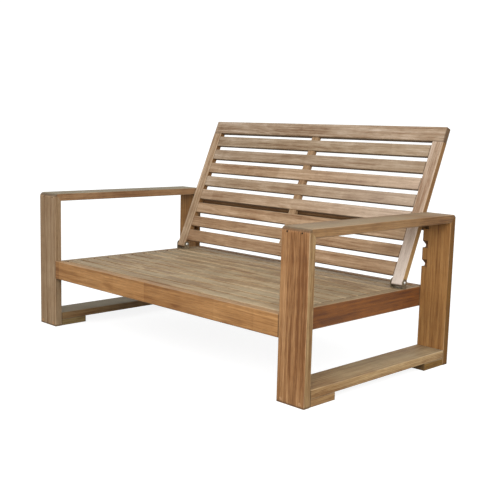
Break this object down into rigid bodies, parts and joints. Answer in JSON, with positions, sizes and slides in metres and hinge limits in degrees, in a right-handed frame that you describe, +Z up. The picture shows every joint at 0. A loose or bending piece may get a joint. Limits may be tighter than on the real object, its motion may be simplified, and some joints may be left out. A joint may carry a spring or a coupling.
{
  "type": "adjustable-back garden loveseat frame",
  "caption": "Low hardwood garden loveseat frame with board side frames, a slatted platform seat and a hinged slatted back held by a loose bar in notched rear posts.",
  "frame": {"origin": "on the ground below the middle of the bounding box", "axes": "+X across the seat to the viewer's right when facing its front, +Y from front to rear, +Z up"},
  "size_m": [1.5, 0.9193, 0.8665],
  "materials": {
    "arm_wood": "oiled, weathered satin with open straight grain",
    "post_wood": "oiled, weathered satin with open straight grain",
    "foot_rail_wood": "oiled, weathered satin with open straight grain",
    "seat_rim_wood": "oiled, weathered satin with open straight grain",
    "seat_slat_wood": "oiled, weathered satin with open straight grain",
    "under_frame_wood": "oiled, weathered satin with open straight grain",
    "back_wood": "oiled, weathered satin with open straight grain",
    "bar_wood": "oiled, weathered satin with open straight grain",
    "plug_wood": "end-grain plug, sanded flush",
    "stainless_steel": "brushed stainless",
    "dark_screw_steel": "tarnished, dull"
  },
  "bodies": {
    "frame": {"front_post_left": "post_wood", "front_post_right": "post_wood", "rear_post_left": "post_wood", "rear_post_right": "post_wood", "arm_left": "arm_wood", "arm_right": "arm_wood", "bottom_rail_left": "foot_rail_wood", "bottom_rail_right": "foot_rail_wood", "front_foot_left": "foot_rail_wood", "front_foot_right": "foot_rail_wood", "rear_foot_left": "foot_rail_wood", "rear_foot_right": "foot_rail_wood", "foot_plugs": "plug_wood", "corner_screws": "dark_screw_steel", "front_apron": "seat_rim_wood", "rear_apron": "seat_rim_wood", "frame_dowels": "plug_wood", "side_rail_left": "seat_rim_wood", "side_rail_right": "seat_rim_wood", "slat_cleat_left": "under_frame_wood", "slat_cleat_right": "under_frame_wood", "seat_slat_1": "seat_slat_wood", "seat_slat_2": "seat_slat_wood", "seat_slat_3": "seat_slat_wood", "seat_slat_4": "seat_slat_wood", "seat_slat_5": "seat_slat_wood", "seat_slat_6": "seat_slat_wood", "seat_slat_7": "seat_slat_wood", "seat_slat_8": "seat_slat_wood", "seat_slat_9": "seat_slat_wood", "seat_slat_10": "seat_slat_wood", "seat_slat_11": "seat_slat_wood", "seat_bearer_1": "under_frame_wood", "seat_bearer_2": "under_frame_wood", "hinge_bracket_left": "stainless_steel", "hinge_bracket_right": "stainless_steel", "hinge_bolt_left": "stainless_steel", "hinge_bolt_right": "stainless_steel", "hinge_nuts": "stainless_steel", "hinge_screws": "stainless_steel"},
    "back": {"back_top_rail": "back_wood", "back_stile_left": "back_wood", "back_stile_right": "back_wood", "back_centre_stile": "back_wood", "back_slat_1": "back_wood", "back_slat_2": "back_wood", "back_slat_3": "back_wood", "back_slat_4": "back_wood", "back_slat_5": "back_wood", "back_slat_6": "back_wood", "back_slat_7": "back_wood", "back_slat_8": "back_wood"},
    "support_bar": {"support_bar": "bar_wood"}
  },
  "joints": [
    {"name": "back_fold", "type": "hinge", "parent": "frame", "child": "back", "pos_m": [0, 0.20835, 0.301], "axis": [1, 0, 0], "range_deg": [0, 114]},
    {"name": "support_bar_roll", "type": "hinge", "parent": "frame", "child": "support_bar", "pos_m": [0, 0.32587, 0.5003], "axis": [1, 0, 0], "continuous": true}
  ]
}
